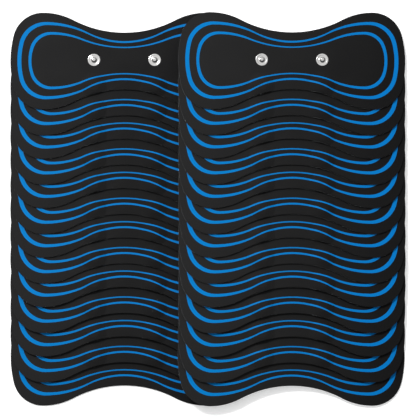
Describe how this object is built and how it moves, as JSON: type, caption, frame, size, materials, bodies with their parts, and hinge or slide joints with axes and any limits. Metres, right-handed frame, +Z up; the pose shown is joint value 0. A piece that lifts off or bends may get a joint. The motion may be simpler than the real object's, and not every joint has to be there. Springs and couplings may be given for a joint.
{
  "type": "press stud electrode massage pad set",
  "caption": "Butterfly-shaped press-stud electrode massage pads with two metal studs each, fanned in two overlapping columns.",
  "frame": {"origin": "on the table, under the middle of the box of the whole arrangement", "axes": "+Z up, +X towards the upper (right) column, +Y towards the top pad of each column"},
  "size_m": [0.2997, 0.2984, 0.0259],
  "materials": {
    "cover_fabric": "fine woven cloth with a matt coating, black with blue printed bands",
    "blue_print": "screen-printed ink, satin",
    "carbon_film": "matt carbon-filled film",
    "hydrogel": "clear tacky gel, wet gloss",
    "liner_film": "clear film, glossy",
    "nickel": "nickel plate, tumbled, bright"
  },
  "bodies": {
    "left_pad_13": {"left_pad_13_laminate": "cover_fabric", "left_pad_13_snaps": "nickel"},
    "left_pad_12": {"left_pad_12_laminate": "cover_fabric", "left_pad_12_snaps": "nickel"},
    "left_pad_11": {"left_pad_11_laminate": "cover_fabric", "left_pad_11_snaps": "nickel"},
    "left_pad_10": {"left_pad_10_laminate": "cover_fabric", "left_pad_10_snaps": "nickel"},
    "left_pad_09": {"left_pad_09_laminate": "cover_fabric", "left_pad_09_snaps": "nickel"},
    "left_pad_08": {"left_pad_08_laminate": "cover_fabric", "left_pad_08_snaps": "nickel"},
    "left_pad_07": {"left_pad_07_laminate": "cover_fabric", "left_pad_07_snaps": "nickel"},
    "left_pad_06": {"left_pad_06_laminate": "cover_fabric", "left_pad_06_snaps": "nickel"},
    "left_pad_05": {"left_pad_05_laminate": "cover_fabric", "left_pad_05_snaps": "nickel"},
    "left_pad_04": {"left_pad_04_laminate": "cover_fabric", "left_pad_04_snaps": "nickel"},
    "left_pad_03": {"left_pad_03_laminate": "cover_fabric", "left_pad_03_snaps": "nickel"},
    "left_pad_02": {"left_pad_02_laminate": "cover_fabric", "left_pad_02_snaps": "nickel"},
    "left_pad_01": {"left_pad_01_carbon_films": "carbon_film", "left_pad_01_cover": "cover_fabric", "left_pad_01_eyelets": "nickel", "left_pad_01_gel_pads": "hydrogel", "left_pad_01_liner": "liner_film", "left_pad_01_snap_studs": "nickel"},
    "right_pad_13": {"right_pad_13_laminate": "cover_fabric", "right_pad_13_snaps": "nickel"},
    "right_pad_12": {"right_pad_12_laminate": "cover_fabric", "right_pad_12_snaps": "nickel"},
    "right_pad_11": {"right_pad_11_laminate": "cover_fabric", "right_pad_11_snaps": "nickel"},
    "right_pad_10": {"right_pad_10_laminate": "cover_fabric", "right_pad_10_snaps": "nickel"},
    "right_pad_09": {"right_pad_09_laminate": "cover_fabric", "right_pad_09_snaps": "nickel"},
    "right_pad_08": {"right_pad_08_laminate": "cover_fabric", "right_pad_08_snaps": "nickel"},
    "right_pad_07": {"right_pad_07_laminate": "cover_fabric", "right_pad_07_snaps": "nickel"},
    "right_pad_06": {"right_pad_06_laminate": "cover_fabric", "right_pad_06_snaps": "nickel"},
    "right_pad_05": {"right_pad_05_laminate": "cover_fabric", "right_pad_05_snaps": "nickel"},
    "right_pad_04": {"right_pad_04_laminate": "cover_fabric", "right_pad_04_snaps": "nickel"},
    "right_pad_03": {"right_pad_03_laminate": "cover_fabric", "right_pad_03_snaps": "nickel"},
    "right_pad_02": {"right_pad_02_laminate": "cover_fabric", "right_pad_02_snaps": "nickel"},
    "right_pad_01": {"right_pad_01_carbon_films": "carbon_film", "right_pad_01_cover": "cover_fabric", "right_pad_01_eyelets": "nickel", "right_pad_01_gel_pads": "hydrogel", "right_pad_01_liner": "liner_film", "right_pad_01_snap_studs": "nickel"}
  },
  "joints": [
    {"name": "left_pad_12_lift", "type": "slide", "parent": "left_pad_13", "child": "left_pad_12", "axis": [0, 0, 1], "range_m": [0, 0.03]},
    {"name": "left_pad_11_lift", "type": "slide", "parent": "left_pad_12", "child": "left_pad_11", "axis": [0, 0, 1], "range_m": [0, 0.03]},
    {"name": "left_pad_10_lift", "type": "slide", "parent": "left_pad_11", "child": "left_pad_10", "axis": [0, 0, 1], "range_m": [0, 0.03]},
    {"name": "left_pad_09_lift", "type": "slide", "parent": "left_pad_10", "child": "left_pad_09", "axis": [0, 0, 1], "range_m": [0, 0.03]},
    {"name": "left_pad_08_lift", "type": "slide", "parent": "left_pad_09", "child": "left_pad_08", "axis": [0, 0, 1], "range_m": [0, 0.03]},
    {"name": "left_pad_07_lift", "type": "slide", "parent": "left_pad_08", "child": "left_pad_07", "axis": [0, 0, 1], "range_m": [0, 0.03]},
    {"name": "left_pad_06_lift", "type": "slide", "parent": "left_pad_07", "child": "left_pad_06", "axis": [0, 0, 1], "range_m": [0, 0.03]},
    {"name": "left_pad_05_lift", "type": "slide", "parent": "left_pad_06", "child": "left_pad_05", "axis": [0, 0, 1], "range_m": [0, 0.03]},
    {"name": "left_pad_04_lift", "type": "slide", "parent": "left_pad_05", "child": "left_pad_04", "axis": [0, 0, 1], "range_m": [0, 0.03]},
    {"name": "left_pad_03_lift", "type": "slide", "parent": "left_pad_04", "child": "left_pad_03", "axis": [0, 0, 1], "range_m": [0, 0.03]},
    {"name": "left_pad_02_lift", "type": "slide", "parent": "left_pad_03", "child": "left_pad_02", "axis": [0, 0, 1], "range_m": [0, 0.03]},
    {"name": "left_pad_01_lift", "type": "slide", "parent": "left_pad_02", "child": "left_pad_01", "axis": [0, 0, 1], "range_m": [0, 0.03]},
    {"name": "right_pad_13_lift", "type": "slide", "parent": "left_pad_01", "child": "right_pad_13", "axis": [0, 0, 1], "range_m": [0, 0.03]},
    {"name": "right_pad_12_lift", "type": "slide", "parent": "right_pad_13", "child": "right_pad_12", "axis": [0, 0, 1], "range_m": [0, 0.03]},
    {"name": "right_pad_11_lift", "type": "slide", "parent": "right_pad_12", "child": "right_pad_11", "axis": [0, 0, 1], "range_m": [0, 0.03]},
    {"name": "right_pad_10_lift", "type": "slide", "parent": "right_pad_11", "child": "right_pad_10", "axis": [0, 0, 1], "range_m": [0, 0.03]},
    {"name": "right_pad_09_lift", "type": "slide", "parent": "right_pad_10", "child": "right_pad_09", "axis": [0, 0, 1], "range_m": [0, 0.03]},
    {"name": "right_pad_08_lift", "type": "slide", "parent": "right_pad_09", "child": "right_pad_08", "axis": [0, 0, 1], "range_m": [0, 0.03]},
    {"name": "right_pad_07_lift", "type": "slide", "parent": "right_pad_08", "child": "right_pad_07", "axis": [0, 0, 1], "range_m": [0, 0.03]},
    {"name": "right_pad_06_lift", "type": "slide", "parent": "right_pad_07", "child": "right_pad_06", "axis": [0, 0, 1], "range_m": [0, 0.03]},
    {"name": "right_pad_05_lift", "type": "slide", "parent": "right_pad_06", "child": "right_pad_05", "axis": [0, 0, 1], "range_m": [0, 0.03]},
    {"name": "right_pad_04_lift", "type": "slide", "parent": "right_pad_05", "child": "right_pad_04", "axis": [0, 0, 1], "range_m": [0, 0.03]},
    {"name": "right_pad_03_lift", "type": "slide", "parent": "right_pad_04", "child": "right_pad_03", "axis": [0, 0, 1], "range_m": [0, 0.03]},
    {"name": "right_pad_02_lift", "type": "slide", "parent": "right_pad_03", "child": "right_pad_02", "axis": [0, 0, 1], "range_m": [0, 0.03]},
    {"name": "right_pad_01_lift", "type": "slide", "parent": "right_pad_02", "child": "right_pad_01", "axis": [0, 0, 1], "range_m": [0, 0.03]}
  ]
}
